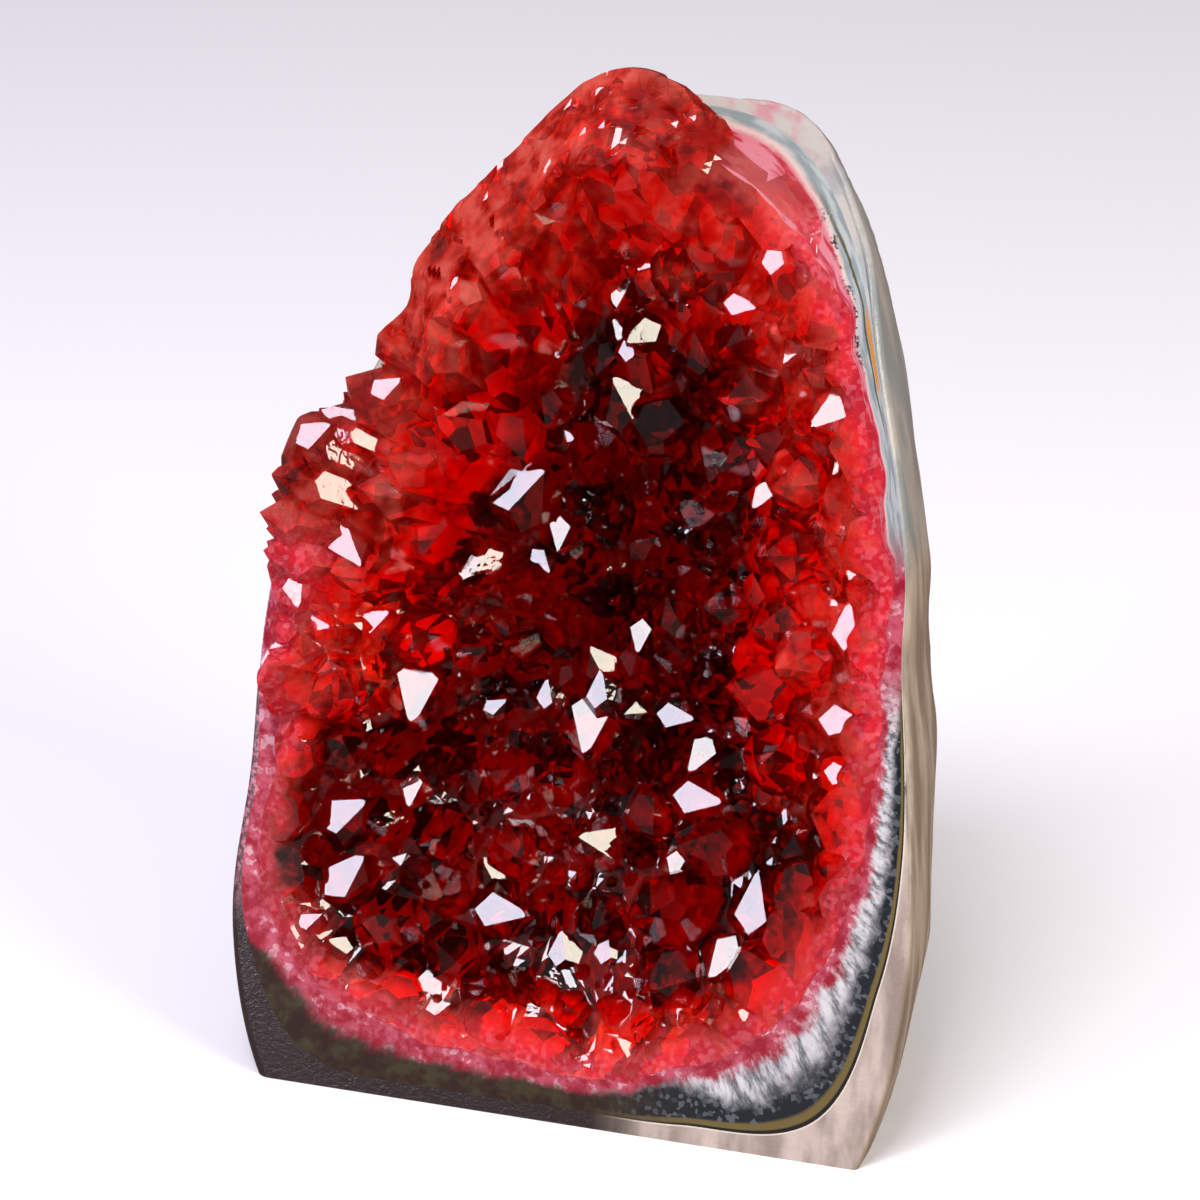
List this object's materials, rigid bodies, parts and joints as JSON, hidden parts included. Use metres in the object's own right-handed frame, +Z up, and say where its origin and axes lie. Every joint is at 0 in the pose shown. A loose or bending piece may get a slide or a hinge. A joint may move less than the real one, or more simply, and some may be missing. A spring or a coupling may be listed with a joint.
{
  "type": "quartz geode cluster",
  "caption": "Free-standing half geode: a basalt nodule sawn open and sawn flat underneath, with a banded agate wall and a hollow lined with clear red quartz points.",
  "frame": {"origin": "centre of the bounding box, at the sawn base that the stone stands on", "axes": "+Z up, the stone's longest way; the sawn face with the crystals looks towards -Y and leans back"},
  "size_m": [0.0704, 0.0544, 0.1015],
  "materials": {
    "basalt": "natural weathered rind, polished where it was sawn",
    "agate": "polished, banded from dark green black through grey white to pink",
    "red_quartz": "clear deep red crystal with bright natural faces"
  },
  "bodies": {
    "root": {"basalt_rind": "basalt", "agate_wall": "agate", "crystal_crust": "red_quartz"}
  },
  "joints": []
}
